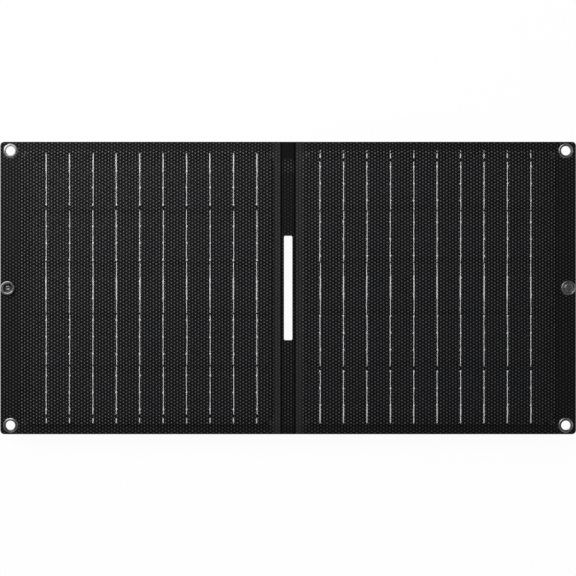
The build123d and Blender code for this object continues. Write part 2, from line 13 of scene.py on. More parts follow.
import bmesh
import bpy
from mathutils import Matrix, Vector


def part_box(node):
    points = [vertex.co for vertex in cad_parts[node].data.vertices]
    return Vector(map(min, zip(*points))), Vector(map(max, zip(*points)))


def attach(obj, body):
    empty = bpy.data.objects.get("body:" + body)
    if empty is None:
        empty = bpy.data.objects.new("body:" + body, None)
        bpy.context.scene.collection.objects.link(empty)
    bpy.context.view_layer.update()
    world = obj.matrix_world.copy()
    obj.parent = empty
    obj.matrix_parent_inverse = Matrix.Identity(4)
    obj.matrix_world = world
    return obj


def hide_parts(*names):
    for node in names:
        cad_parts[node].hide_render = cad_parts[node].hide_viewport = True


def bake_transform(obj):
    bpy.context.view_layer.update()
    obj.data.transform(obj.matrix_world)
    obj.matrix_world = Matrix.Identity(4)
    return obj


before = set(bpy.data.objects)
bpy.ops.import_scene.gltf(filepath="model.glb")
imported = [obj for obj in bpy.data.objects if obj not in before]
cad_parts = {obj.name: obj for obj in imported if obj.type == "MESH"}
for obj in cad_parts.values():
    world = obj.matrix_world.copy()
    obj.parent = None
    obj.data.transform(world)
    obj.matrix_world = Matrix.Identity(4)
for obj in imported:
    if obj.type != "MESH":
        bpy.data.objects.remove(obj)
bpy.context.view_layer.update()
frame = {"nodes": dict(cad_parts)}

MM = 0.001
CORNER_STEPS = 10     # divisions of an outline's corner
SHARP = 35.0          # degrees: edges sharper than this stay crisp
TURNED_SHARP = 50.0   # the same for turned fittings
CLEAR_STARTS = 0.7    # where the film turns clear, outside the board's edge
CLEAR_FULLY = 0.9     # where it is all clear, inside the board's edge
LOG = logging.getLogger("charger")

Point2 = Tuple[float, float]
Point3 = Tuple[float, float, float]
Colour = Tuple[float, float, float]
Object = bpy.types.Object
Material = bpy.types.Material
Vert = bmesh.types.BMVert
Ring = Tuple[List[Point2], float, float]


# ---- frame sizes
def span(node: str, axis: int) -> Tuple[float, float]:
    """Lowest and highest place of a CAD node along an axis, in mm."""
    low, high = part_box(node)
    return low[axis] / MM, high[axis] / MM


@dataclass(frozen=True)
class Layout:
    """Places that several sub-assemblies share, read from the frame, in mm."""

    wing_end: float = -span("left_front_film", 0)[0]
    half_width: float = span("left_front_film", 1)[1]
    wing_start: float = -span("left_front_film", 0)[1]
    spine_half: float = span("spine_front_film", 0)[1]
    cloth_back: float = span("left_rear_fabric", 2)[0]
    cloth_front: float = span("left_rear_fabric", 2)[1]
    border_face: float = span("spine_front_film", 2)[1]
    raised_face: float = span("left_front_film", 2)[1]
    board_in: float = -span("left_stiffener_board", 0)[1]
    board_out: float = -span("left_stiffener_board", 0)[0]
    board_half: float = span("left_stiffener_board", 1)[1]
    cell_out: float = -span("left_cell_strip_1", 0)[0]
    cell_in: float = -span("left_cell_strip_1", 0)[1]
    cell_back: float = span("left_cell_strip_1", 2)[0]
    cell_front: float = span("left_cell_strip_1", 2)[1]
    eyelet_x: float = 213.6
    eyelet_y: float = 105.6
    groove_x: float = 5.15

    @property
    def crease_x(self) -> float:
        """Middle of a crease, from the spine's middle."""
        return (self.wing_start + self.spine_half) / 2

    @property
    def hinge_height(self) -> float:
        """Height of both crease axes."""
        return (self.cloth_back + self.border_face) / 2


AT = Layout()


class Side(Enum):
    """The two wings; the right one is the left one turned half round."""

    LEFT = 1
    RIGHT = -1

    @property
    def label(self) -> str:
        """Name used in node names."""
        return self.name.lower()

    def place(self, x: float, y: float) -> Point2:
        """A point of the left wing moved to this wing."""
        return (x * self.value, y * self.value)


# ---- shader maths
def math_node(operation: str, reflected: bool = False) -> Callable[..., "Wire"]:
    """Make a method of Wire that adds one Math node.

    Args:
        operation: The node's operation.
        reflected: Whether the wire is the last value.

    Returns:
        The method.
    """
    def method(wire: "Wire", *others: Union["Wire", float]) -> "Wire":
        """Add the node."""
        values = (*others, wire) if reflected else (wire, *others)
        return wire.owner.node("ShaderNodeMath", {"operation": operation}, dict(enumerate(values)))
    return method


class Wire:
    """A shader value: arithmetic on it adds Math nodes."""

    def __init__(self, owner: "Nodes", socket: bpy.types.NodeSocket) -> None:
        """Wrap a socket of a tree under construction."""
        self.owner = owner
        self.socket = socket

    __add__ = __radd__ = math_node("ADD")
    __sub__ = math_node("SUBTRACT")
    __rsub__ = math_node("SUBTRACT", reflected=True)
    __mul__ = __rmul__ = math_node("MULTIPLY")
    __pow__ = math_node("POWER")
    size = math_node("ABSOLUTE")
    least = math_node("MINIMUM")
    most = math_node("MAXIMUM")
    sine = math_node("SINE")
    root = math_node("SQRT")
    fraction = math_node("FRACT")    # never negative

    def about(self, period: float) -> "Wire":
        """Distance from the nearest multiple of a period, with its sign."""
        return ((self * (1 / period) + 0.5).fraction() - 0.5) * period

    def step(self, low: float, high: float) -> "Wire":
        """Smooth rise from 0 at low to 1 at high; falls when low is above high."""
        ends = {1: low, 2: high} if low <= high else {1: high, 2: low, 3: 1.0, 4: 0.0}
        return self.owner.node("ShaderNodeMapRange", {"interpolation_type": "SMOOTHSTEP"},
                               {0: self, **ends})


Feed = Union[Wire, float, Sequence[float]]


class Nodes:
    """A node tree under construction."""

    def __init__(self, tree: bpy.types.NodeTree) -> None:
        """Wrap a node tree."""
        self.tree = tree

    def node(self, kind: str, settings: Dict[str, object], inputs: Dict[Union[int, str], Feed],
             output: Union[int, str] = 0) -> Wire:
        """Add a node.

        Args:
            kind: The node's type.
            settings: Its properties, set first; "stops" fills a colour ramp.
            inputs: Values or links of its sockets.
            output: Which output the result is.

        Returns:
            The chosen output.
        """
        made = self.tree.nodes.new(kind)
        for key, value in settings.items():
            if key == "stops":
                self._fill_ramp(made.color_ramp, value)
            else:
                setattr(made, key, value)
        for key, value in inputs.items():
            self.feed(made.inputs[key], value)
        return Wire(self, made.outputs[output])

    @staticmethod
    def _fill_ramp(ramp: bpy.types.ColorRamp, stops: Sequence[Tuple[float, float]]) -> None:
        """Set a colour ramp's grey stops.

        Args:
            ramp: The ramp.
            stops: Place and level of each stop.
        """
        while len(ramp.elements) > 1:
            ramp.elements.remove(ramp.elements[0])
        for k, (place, level) in enumerate(stops):
            stop = ramp.elements[0] if k == 0 else ramp.elements.new(place)
            stop.position = place
            stop.color = (level, level, level, 1.0)

    def feed(self, socket: bpy.types.NodeSocket, value: Feed) -> None:
        """Link or set one socket.

        Args:
            socket: The input.
            value: A wire, a number or a colour.
        """
        if isinstance(value, Wire):
            self.tree.links.new(value.socket, socket)
        elif isinstance(value, (int, float)):
            socket.default_value = value
        else:
            socket.default_value = (*value, 1.0)[:len(socket.default_value)]

    def axis(self, vector: Wire, index: int) -> Wire:
        """One component of a vector."""
        return self.node("ShaderNodeSeparateXYZ", {}, {0: vector}, index)

    def length(self, vector: Wire, index: int) -> Wire:
        """One component of a place in metres, in mm."""
        return self.axis(vector, index) * (1 / MM)

    def mix(self, factor: Feed, first: Feed, second: Feed) -> Wire:
        """Blend two colours."""
        return self.node("ShaderNodeMix", {"data_type": "RGBA"}, {0: factor, 6: first, 7: second}, 2)


class Paint(Nodes):
    """A material under construction, with a Principled shader at its end."""

    def __init__(self, name: str) -> None:
        """Start a material."""
        self.material = bpy.data.materials.new(name)
        self.material.use_nodes = True
        super().__init__(self.material.node_tree)
        self.shader = self.tree.nodes["Principled BSDF"]

    def set(self, **inputs: Feed) -> Material:
        """Feed the Principled shader and give the material.

        Args:
            **inputs: Its inputs; underscores in names stand for spaces.

        Returns:
            The material.
        """
        for key, value in inputs.items():
            self.feed(self.shader.inputs[key.replace("_", " ")], value)
        return self.material

    def flat(self) -> Tuple[Wire, Wire]:
        """X and Y of a sheet as it lies open, in mm, from its own map."""
        uv = self.node("ShaderNodeUVMap", {"uv_map": "rest"}, {})
        return self.length(uv, 0), self.length(uv, 1)

    def place(self) -> Wire:
        """Object coordinates, in metres."""
        return self.node("ShaderNodeTexCoord", {}, {}, "Object")

    def vector(self, x: Wire, y: Wire) -> Wire:
        """A flat vector from two values."""
        return self.node("ShaderNodeCombineXYZ", {}, {0: x, 1: y})

    def noise(self, vector: Wire, scale: float, detail: float = 3.0, output: str = "Fac") -> Wire:
        """Smooth noise from 0 to 1."""
        return self.node("ShaderNodeTexNoise", {}, {"Vector": vector, "Scale": scale, "Detail": detail},
                         output)

    def bump(self, height: Wire, distance: float, strength: float) -> Wire:
        """Normal from a height from 0 to 1 and its depth in mm."""
        return self.node("ShaderNodeBump", {}, {"Height": height, "Distance": distance * MM,
                                                "Strength": strength})


# ---- finishes
@dataclass(frozen=True)
class FilmFinish:
    """Black front film with a six-sided lattice of small domes, whose glints are painted into its colour
    as bright dots; clear over the cells.
    """

    pitch: float = 2.62
    column: float = 2.3
    dome: float = 1.05
    spot: float = 0.78
    height: float = 0.10
    wander: float = 0.55
    ground: Colour = (0.0022, 0.0022, 0.0024)
    # light: painted glint colour of the domes, in place of their highlights.
    light: Colour = (0.20, 0.20, 0.202)
    # sheen: painted glint colour of the domes over the clear window.
    sheen: Colour = (0.34, 0.34, 0.345)
    # groove: painted shade colour along the crease's groove.
    groove: Colour = (0.0008, 0.0008, 0.0008)
    smooth_start: float = 98.8
    smooth_end: float = 99.8
    quiet_fade: float = 0.62
    beside_fade: float = 0.55
    edge_fade: float = 0.54
    spine_fade: float = 0.42

    def lattice(self, x: Wire, y: Wire) -> Wire:
        """Distance in mm from the nearest dome's middle."""
        width = 2 * self.column
        first = x.about(width) ** 2 + y.about(self.pitch) ** 2
        second = (x + self.column).about(width) ** 2 + (y + self.pitch / 2).about(self.pitch) ** 2
        return first.least(second).root()

    @staticmethod
    def window(across: Wire, along: Wire) -> Wire:
        """1 over the clear part of the film, 0 over the borders and the spine."""
        return (along.step(AT.board_half + CLEAR_STARTS, AT.board_half - CLEAR_FULLY)
                * across.step(AT.board_in - CLEAR_STARTS, AT.board_in + CLEAR_FULLY)
                * across.step(AT.board_out + CLEAR_STARTS, AT.board_out - CLEAR_FULLY))

    def dots(self, across: Wire, y: Wire) -> Tuple[Wire, Wire, Wire]:
        """How strongly the dots' painted glints show on the spine, beside it and in the borders."""
        on_spine = across.step(AT.crease_x + 0.1, AT.crease_x - 0.5)
        bare = on_spine * y.step(self.smooth_start, self.smooth_end)
        quiet = on_spine * y.step(40.0, 44.0) * y.step(89.5, 88.0)
        beside = across.step(14.5, 7.5) * (1 - on_spine)
        edge = (y.size().step(AT.board_half, AT.board_half + 1.8)
                + across.step(AT.board_out, AT.board_out + 1.8)).least(1.0)
        amount = 1 - bare
        for fade, where in ((self.quiet_fade, quiet), (self.beside_fade, beside), (self.edge_fade, edge),
                            (self.spine_fade, on_spine)):
            amount = amount * (1 - fade * where)
        return amount, bare, beside

    def make(self) -> Material:
        """Build the material."""
        paint = Paint("front_film")
        x, y = paint.flat()
        flat = paint.vector(x, y)
        drift = paint.noise(flat, 0.02, 1.0, "Color")
        away = self.lattice(x + self.wander * (paint.axis(drift, 0) - 0.5),
                            y + self.wander * (paint.axis(drift, 1) - 0.5))
        dome = away.step(self.dome, 0.1)
        fine = paint.noise(flat, 0.45, 1.0)
        across = x.size()
        amount, bare, beside = self.dots(across, y)
        # Painted light fall-off: the dots' glints weaken towards the right and the bottom, away from the
        # key lamp.
        glint_falloff = 0.78 - 0.0008 * x + 0.0013 * y
        # spark: the painted glint of each dome, a bright spot in the colour in place of its highlight.
        spark = (away.step(self.spot, 0.1) * amount * glint_falloff * (0.45 + 1.1 * fine)).least(1.0)
        ground = paint.mix(0.7 * beside + 0.12 * fine, self.ground, (0.021, 0.021, 0.0216))
        colour = paint.mix(spark, ground, self.light)
        # Painted shade in the crease's groove: the colour darkens and the roughness rises along it.
        groove = (across - AT.groove_x).size().step(1.0, 0.35)
        colour = paint.mix(groove, colour, self.groove)
        window = self.window(across, y.size())
        # Over the cells the domes' glints are painted as sheen, and they make the film less clear there.
        over_cells = paint.mix((3.0 * spark).least(1.0), self.ground, self.sheen)
        cover = 0.08 + 0.30 * spark
        rough = (0.52 - 0.10 * dome + 0.5 * groove).least(1.0)
        return paint.set(Base_Color=paint.mix(window, colour, over_cells), Roughness=rough, IOR=1.40,
                         Specular_IOR_Level=0.12, Alpha=1 - window * (1 - cover),
                         Normal=paint.bump(dome * (1 - bare), self.height, 0.8))


@dataclass(frozen=True)
class UndersideFinish:
    """Bonded underside of the film: black in the borders and clear over the cells."""

    def make(self) -> Material:
        """Build the material."""
        paint = Paint("film_underside")
        x, y = paint.flat()
        grain = paint.noise(paint.vector(x, y), 0.8)
        return paint.set(Base_Color=paint.mix(grain, (0.004, 0.004, 0.004), (0.010, 0.010, 0.010)),
                         Roughness=0.8, Alpha=1 - FilmFinish.window(x.size(), y.size()))


@dataclass(frozen=True)
class CellFinish:
    """Near-black silicon with faint fingers across it and slow changes of tint."""

    finger: float = 1.55

    def make(self) -> Material:
        """Build the material."""
        paint = Paint("solar_cell")
        spot = paint.place()
        x, y = paint.length(spot, 0), paint.length(spot, 1)
        place = paint.vector(x, y)
        fingers = y.about(self.finger).size().step(0.12, 0.04)
        tint = paint.noise(place, 0.012, 2.0)
        base = paint.mix(tint, (0.0040, 0.0042, 0.0050), (0.0062, 0.0065, 0.0078))
        return paint.set(Base_Color=paint.mix(0.2 * fingers, base, (0.02, 0.02, 0.022)),
                         Roughness=0.45 + 0.1 * paint.noise(place, 0.2), IOR=1.5, Specular_IOR_Level=0.10)


@dataclass(frozen=True)
class NickelFinish:
    """Plated brass fittings with fine turning marks, small dull patches and, where asked, painted shade
    in their low parts.
    """

    name: str = "nickel_fitting"
    bright: Colour = (0.25, 0.25, 0.247)
    worn: Colour = (0.15, 0.15, 0.148)
    rough: float = 0.24
    grime: float = 0.0

    def make(self) -> Material:
        """Build the material."""
        paint = Paint(self.name)
        place = paint.place()
        patches = paint.noise(place, 420.0, 4.0)
        scratch = paint.noise(place, 2600.0, 2.0)
        wear = patches.step(0.42, 0.68)
        height = paint.length(place, 2) - AT.border_face
        # Painted shade: the low parts from the face to about 1.5 mm above it, mostly the socket's cavity
        # floor, are darkened.
        sunk = self.grime * height.step(1.5, 0.7) * height.step(-0.4, 0.2)
        colour = paint.mix(wear, self.bright, self.worn)
        return paint.set(Base_Color=paint.mix(sunk, colour, (0.03, 0.03, 0.03)), Metallic=1.0,
                         Roughness=self.rough + 0.16 * wear + 0.06 * scratch,
                         Normal=paint.bump(scratch, 0.012, 0.4))


@dataclass(frozen=True)
class ClothFinish:
    """Coated plain-weave cloth, two threads each way, black."""

    thread: float = 0.62
    dark: Colour = (0.008, 0.008, 0.009)
    light: Colour = (0.042, 0.042, 0.045)

    def make(self) -> Material:
        """Build the material."""
        paint = Paint("rear_fabric")
        x, y = paint.flat()
        wander = paint.noise(paint.vector(x, y), 0.25, 2.0)
        turn = math.pi / self.thread
        warp = (x * turn).sine()
        weft = (y * turn).sine()
        over = (warp * weft) * 0.5 + 0.5
        ribs = ((x * (2 * turn)).sine().size() * over + (y * (2 * turn)).sine().size() * (1 - over))
        shade = (ribs * (0.6 + 0.5 * wander)).least(1.0)
        return paint.set(Base_Color=paint.mix(shade, self.dark, self.light), Roughness=0.78 - 0.12 * ribs,
                         Sheen_Weight=0.06, Sheen_Roughness=0.5, Specular_IOR_Level=0.2,
                         Normal=paint.bump(ribs, 0.16, 0.9))


@dataclass(frozen=True)
class MouldedFinish:
    """Spark-textured moulded plastic or rubber."""

    name: str
    dark: Colour = (0.012, 0.012, 0.013)
    light: Colour = (0.022, 0.022, 0.023)
    rough: float = 0.5
    grain: float = 1400.0
    depth: float = 0.03
    shine: float = 0.5

    def make(self) -> Material:
        """Build the material."""
        paint = Paint(self.name)
        place = paint.place()
        spark = paint.noise(place, self.grain, 2.0)
        smear = paint.noise(place, 45.0, 3.0)
        return paint.set(Base_Color=paint.mix(0.5 * spark + 0.5 * smear, self.dark, self.light),
                         Roughness=self.rough + 0.12 * smear, Specular_IOR_Level=self.shine,
                         Normal=paint.bump(spark, self.depth, 0.6))


@dataclass(frozen=True)
class MetalFinish:
    """Drawn, tinned or coated metal with fine streaks."""

    name: str
    tone: Colour
    dull: Colour
    metal: float = 1.0
    rough: float = 0.35
    spread: float = 0.12
    grain: float = 700.0
    depth: float = 0.01
    relief: float = 0.4

    def make(self) -> Material:
        """Build the material."""
        paint = Paint(self.name)
        place = paint.place()
        streak = paint.noise(place, self.grain)
        return paint.set(Base_Color=paint.mix(streak, self.dull, self.tone), Metallic=self.metal,
                         Roughness=self.rough + self.spread * streak,
                         Normal=paint.bump(streak, self.depth, self.relief))


@dataclass(frozen=True)
class ClearFinish:
    """Frosted clear plastic."""

    name: str = "indicator_lens"

    def make(self) -> Material:
        """Build the material."""
        paint = Paint(self.name)
        haze = paint.noise(paint.place(), 800.0)
        return paint.set(Base_Color=paint.mix(haze, (0.62, 0.72, 0.68), (0.8, 0.86, 0.83)),
                         Roughness=0.3 + 0.15 * haze, Alpha=0.75)


# ---- mesh helpers
def soften(points: Sequence[Point2], radius: float, steps: int = 4) -> List[Point2]:
    """Round the inner corners of an open profile.

    Args:
        points: Corners in order.
        radius: Largest cut-back at a corner; short runs use less.
        steps: Points per rounded corner.

    Returns:
        The rounded profile.
    """
    out = [points[0]]
    for before, corner, after in zip(points, points[1:], points[2:]):
        a, b, c = Vector(before), Vector(corner), Vector(after)
        cut = min(radius, 0.45 * (a - b).length, 0.45 * (c - b).length)
        start = b + (a - b).normalized() * cut
        end = b + (c - b).normalized() * cut
        for k in range(steps + 1):
            t = k / steps
            spot = start * (1 - t) ** 2 + b * (2 * t * (1 - t)) + end * t ** 2
            out.append((spot.x, spot.y))
    out.append(points[-1])
    return out


def rounded_outline(x_low: float, x_high: float, y_low: float, y_high: float,
                    radii: Sequence[float], side_steps: int,
                    corner_steps: int = CORNER_STEPS) -> List[Point2]:
    """Points round a rectangle, anticlockwise from its lower right corner.

    Args:
        x_low: Left side.
        x_high: Right side.
        y_low: Lower side.
        y_high: Upper side.
        radii: Corner radii: lower right, upper right, upper left, lower left.
        side_steps: Divisions of each straight side.
        corner_steps: Divisions of each corner.

    Returns:
        The same number of points for every rectangle with the same steps.
    """
    corners = ((x_high, y_low, -1, 1), (x_high, y_high, -1, -1), (x_low, y_high, 1, -1),
               (x_low, y_low, 1, 1))
    arcs = []
    for quarter, ((x, y, inward, upward), radius) in enumerate(zip(corners, radii)):
        angles = [math.radians(90 * (quarter - 1 + k / corner_steps)) for k in range(corner_steps + 1)]
        arcs.append([(x + radius * (inward + math.cos(angle)), y + radius * (upward + math.sin(angle)))
                     for angle in angles])
    points = []
    for arc, following in zip(arcs, arcs[1:] + arcs[:1]):
        first, last = Vector(arc[-1]), Vector(following[0])
        points += arc + [tuple(first.lerp(last, k / side_steps)) for k in range(1, side_steps)]
    return points


def mark_sharp(mesh: bmesh.types.BMesh, degrees: float) -> None:
    """Smooth every face and keep edges sharper than an angle crisp."""
    for edge in mesh.edges:
        edge.smooth = len(edge.link_faces) != 2 or edge.calc_face_angle(0) <= math.radians(degrees)
    for face in mesh.faces:
        face.smooth = True


class Shape:
    """A mesh under construction, in mm."""

    def __init__(self) -> None:
        """Start empty."""
        self.mesh = bmesh.new()

    def ring(self, points: Iterable[Point3]) -> List[Vert]:
        """Add a row of vertices."""
        return [self.mesh.verts.new([c * MM for c in point]) for point in points]

    def bridge(self, first: Sequence[Vert], second: Sequence[Vert],
               closed: bool = True, material: int = 0, skip: Sequence[int] = ()) -> None:
        """Join two rows of equal length with quads, leaving out the skipped ones."""
        count = len(first)
        for k in range(count if closed else count - 1):
            if k in skip:
                continue
            n = (k + 1) % count
            face = self.mesh.faces.new((first[k], first[n], second[n], second[k]))
            face.material_index = material

    def cap(self, row: Sequence[Vert], material: int = 0) -> None:
        """Close a ring with one face."""
        self.mesh.faces.new(row).material_index = material

    def loft(self, rows: Sequence[Sequence[Vert]], closed: bool = True,
             material: int = 0) -> None:
        """Join a run of rows of equal length."""
        for first, second in zip(rows, rows[1:]):
            self.bridge(first, second, closed, material)

    def tube(self, rows: Sequence[Sequence[Vert]], material: int = 0) -> None:
        """Join a run of rings and close both ends.

        Args:
            rows: The rings in order.
            material: Slot of the faces.
        """
        self.loft(rows, material=material)
        for row in (rows[0], rows[-1]):
            self.cap(row, material)

    def finish(self, name: str, materials: Sequence[Material],
               smooth: float = SHARP) -> Object:
        """Merge doubled vertices, drop unused ones, and turn the mesh into an object.

        Args:
            name: Object name.
            materials: Its material slots.
            smooth: Edges sharper than this many degrees stay sharp.

        Returns:
            The new object, linked to the scene.
        """
        bmesh.ops.remove_doubles(self.mesh, verts=self.mesh.verts, dist=1e-6)
        loose = [vertex for vertex in self.mesh.verts if not vertex.link_faces]
        bmesh.ops.delete(self.mesh, geom=loose, context="VERTS")
        bmesh.ops.recalc_face_normals(self.mesh, faces=self.mesh.faces)
        mark_sharp(self.mesh, smooth)
        data = bpy.data.meshes.new(name)
        self.mesh.to_mesh(data)
        self.mesh.free()
        for material in materials:
            data.materials.append(material)
        obj = bpy.data.objects.new(name, data)
        bpy.context.scene.collection.objects.link(obj)
        return obj


def lathe(shape: Shape, profile: Sequence[Point2], x: float, y: float, segments: int = 72) -> None:
    """Turn a profile about an upright axis.

    Args:
        shape: Shape to add to.
        profile: Radius and height of its points; a loop, or a line with both ends on the axis.
        x: Axis place.
        y: Axis place.
        segments: Divisions round.
    """
    turn = [2 * math.pi * k / segments for k in range(segments)]
    rows = [shape.ring((x + radius * math.cos(a), y + radius * math.sin(a), height) for a in turn)
            for radius, height in profile]
    shape.loft(rows)
    if profile[0][0] > 0:
        shape.bridge(rows[-1], rows[0])


def drill(obj: Object, cutters: Sequence[Object]) -> None:
    """Cut holes through a mesh and drop the cutters."""
    for cutter in cutters:
        modifier = obj.modifiers.new("hole", "BOOLEAN")
        modifier.operation = "DIFFERENCE"
        modifier.solver = "EXACT"
        modifier.object = cutter
    bpy.context.view_layer.update()
    final = bpy.data.meshes.new_from_object(obj.evaluated_get(bpy.context.evaluated_depsgraph_get()))
    obj.modifiers.clear()
    old = obj.data
    obj.data = final
    bpy.data.meshes.remove(old)
    shape = bmesh.new()
    shape.from_mesh(final)
    mark_sharp(shape, SHARP)
    shape.to_mesh(final)
    shape.free()
    for cutter in cutters:
        bpy.data.objects.remove(cutter)


def plug(x: float, y: float, radius: float, low: float, high: float) -> Object:
    """A round cutter.

    Args:
        x: Axis place.
        y: Axis place.
        radius: Its radius.
        low: Height of its lower end.
        high: Height of its upper end.

    Returns:
        The cutter.
    """
    shape = Shape()
    lathe(shape, [(0.0, low), (radius, low), (radius, high), (0.0, high)], x, y, segments=48)
    return shape.finish("cutter", [])


def map_flat(obj: Object) -> None:
    """Give a sheet a map of its own flat X and Y, so its pattern stays when it bends."""
    layer = obj.data.uv_layers.new(name="rest")
    for loop in obj.data.loops:
        spot = obj.data.vertices[loop.vertex_index].co
        layer.data[loop.index].uv = (spot.x, spot.y)


# ---- laminate
@dataclass
class Laminate:
    """Front film and rear cloth of one half of the charger, from its outer edge to the spine's middle."""

    side: Side
    film: Material
    underside: Material
    cloth: Material
    corner: float = 3.2
    raised_corner: float = 10.0
    slope: float = 1.2
    inset: float = 0.3
    join: float = 9.0
    bend: float = 1.5
    edge_round: float = 0.12
    crease_depth: float = 0.32
    groove_half: float = 0.75
    slot_half_width: float = 3.2
    slot_half_length: float = 40.1
    slot_corner: float = 1.1
    slot_side_steps: int = 20
    slot_corner_steps: int = 6
    eyelet_hole: float = 4.2
    rows: int = 45
    bend_columns: int = 14
    cloth_gap: float = 0.02
    film_thick: float = 0.28
    cut_past: float = 4.0

    def column_places(self) -> List[float]:
        """Distances from the spine's middle of the strip's columns, outermost first."""
        step = 2 * self.bend / self.bend_columns
        near = [AT.crease_x + self.bend - k * step for k in range(self.bend_columns + 1)]
        return [self.join, 8.2] + near + [4.3, 4.1, 3.6, 2.4, 1.2, 0.0]

    def crease_dip(self, across: float) -> float:
        """How far the film dips into a crease."""
        away = abs(across - AT.groove_x) / self.groove_half
        return self.crease_depth * max(0.0, 1 - away * away)

    def outline(self, grow: float, raised: bool) -> List[Point2]:
        """Ring round the wing's part outside the join, or round its raised panel."""
        half = AT.half_width
        if not raised:
            radii = (0.0, 0.0, self.corner, self.corner)
            return rounded_outline(-AT.wing_end - grow, -self.join, -half - grow, half + grow, radii,
                                   self.rows)
        reach = self.slope + self.inset
        radius = self.raised_corner + grow
        return rounded_outline(-AT.board_out - reach - grow, -AT.board_in + reach + grow,
                               -AT.board_half - reach - grow, AT.board_half + reach + grow,
                               (radius,) * 4, self.rows)

    def add_sheet(self, shape: Shape, rings: Sequence[Ring],
                  strip: Callable[[float], Tuple[float, float]]) -> None:
        """Add a closed sheet made of nested rings and the strip that reaches the spine's middle.

        Args:
            shape: Shape to add to.
            rings: Outline, front height and back height of each ring, from the outside in.
            strip: Front and back height at a distance from the spine's middle.
        """
        fronts, backs = [], []
        for points, front, back in rings:
            fronts.append(shape.ring((*self.side.place(x, y), front) for x, y in points))
            backs.append(shape.ring((*self.side.place(x, y), back) for x, y in points))
        joined = range(CORNER_STEPS, CORNER_STEPS + self.rows)
        shape.bridge(fronts[0], backs[0], skip=joined)
        for k in range(len(rings) - 1):
            skip = joined if k < 2 else ()
            shape.bridge(fronts[k], fronts[k + 1], skip=skip)
            shape.bridge(backs[k], backs[k + 1], material=1, skip=skip)
        shape.cap(fronts[-1])
        shape.cap(backs[-1], material=1)
        self._add_strip(shape, strip, -rings[2][0][0][1])

    def _add_strip(self, shape: Shape, strip: Callable[[float], Tuple[float, float]],
                   reach: float) -> None:
        """Columns between the join and the spine's middle, and the sheet's cut edges.

        Args:
            shape: Shape to add to.
            strip: Front and back height at a distance from the spine's middle.
            reach: Half length of the third ring's side at the join.
        """
        half = AT.half_width
        steps = [-reach + 2 * reach * k / self.rows for k in range(self.rows + 1)]
        inner = [self.edge_round - half] + steps + [half - self.edge_round]
        fronts, backs = [], []
        for across in self.column_places():
            front, back = strip(across)
            fronts.append(shape.ring((*self.side.place(-across, y), front) for y in inner))
            backs.append(shape.ring((*self.side.place(-across, y), back) for y in inner))
        shape.loft(fronts, closed=False)
        shape.loft(backs, closed=False, material=1)
        shape.bridge(fronts[-1], backs[-1], closed=False)
        for end, y in ((0, -half), (-1, half)):
            lips = []
            for row, sign in ((fronts, -1), (backs, 1)):
                lip = []
                for column, across in zip(row, self.column_places()):
                    spot = column[end].co / MM
                    lip.append((spot.x, y * self.side.value, spot.z + sign * self.edge_round))
                lips.append(shape.ring(lip))
            shape.loft([[c[end] for c in fronts], *lips, [c[end] for c in backs]], closed=False)
            shape.cap([fronts[-1][end], lips[0][-1], lips[1][-1], backs[-1][end]])

    def slot_cutter(self) -> Object:
        """Cutter for the hand slot."""
        points = rounded_outline(-self.slot_half_width, self.slot_half_width, -self.slot_half_length,
                                 self.slot_half_length, (self.slot_corner,) * 4,
                                 self.slot_side_steps, self.slot_corner_steps)
        shape = Shape()
        shape.tube([shape.ring((x, y, z) for x, y in points)
                    for z in (AT.cloth_back - self.cut_past, AT.border_face + self.cut_past)])
        return shape.finish("cutter", [])

    def cut_openings(self, obj: Object) -> None:
        """Cut the slot and the two eyelet holes."""
        cutters = [self.slot_cutter()]
        for y in (-AT.eyelet_y, AT.eyelet_y):
            spot = self.side.place(-AT.eyelet_x, y)
            cutters.append(plug(*spot, self.eyelet_hole, AT.cloth_back - self.cut_past,
                                AT.raised_face + self.cut_past))
        drill(obj, cutters)

    def edge_rings(self, front: float, back: float) -> List[Ring]:
        """The rounded cut edge's rings.

        Args:
            front: Height of the sheet's front.
            back: Height of its back.

        Returns:
            The outermost ring and the next.
        """
        turn = self.edge_round
        return [(self.outline(0, False), front - turn, back + turn),
                (self.outline(-turn, False), front, back)]

    def make_sheet(self, name: str, rings: Sequence[Ring], strip: Callable[[float], Tuple[float, float]],
                   materials: Sequence[Material]) -> Object:
        """Make a sheet with its openings and its flat map.

        Args:
            name: Its name without the wing's.
            rings: Outline, front height and back height of each ring, from the outside in.
            strip: Front and back height at a distance from the spine's middle.
            materials: Finish of its front and of its back.

        Returns:
            The sheet.
        """
        shape = Shape()
        self.add_sheet(shape, rings, strip)
        obj = shape.finish(f"{self.side.label}_{name}", materials)
        self.cut_openings(obj)
        map_flat(obj)
        return obj

    def make_film(self) -> Object:
        """Front film with its raised panel, its creases and its embossing map."""
        face, top = AT.border_face, AT.raised_face
        back = AT.cloth_front + self.cloth_gap
        share = (top - self.film_thick - back) / (top - face)
        rings = self.edge_rings(face, back)
        rings.append((self.outline(-2.5, False), face, back))
        profile = [(0.9, 0.0), (0.35, 0.02), (0.0, 0.1), (-0.3, 0.32), (-0.6, 0.55), (-0.9, 0.78),
                   (-1.2, 0.93), (-1.6, 0.985), (-2.2, 1.0), (-4.0, 1.0)]
        for grow, rise in profile:
            height = rise * (top - face)
            rings.append((self.outline(grow, True), face + height, back + height * share))
        return self.make_sheet("film_skin", rings, lambda a: (face - self.crease_dip(a), back),
                               [self.film, self.underside])

    def make_cloth(self) -> Object:
        """Rear cloth."""
        front, back = AT.cloth_front, AT.cloth_back
        rings = self.edge_rings(front, back)
        rings.append((self.outline(-6.0, False), front, back))
        return self.make_sheet("cloth_skin", rings, lambda a: (front, back), [self.cloth, self.cloth])

    def bend_at_crease(self, obj: Object) -> None:
        """Bake a finished sheet's placement into its mesh."""
        if self.side is Side.LEFT:
            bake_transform(obj)
        else:
            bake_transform(obj)

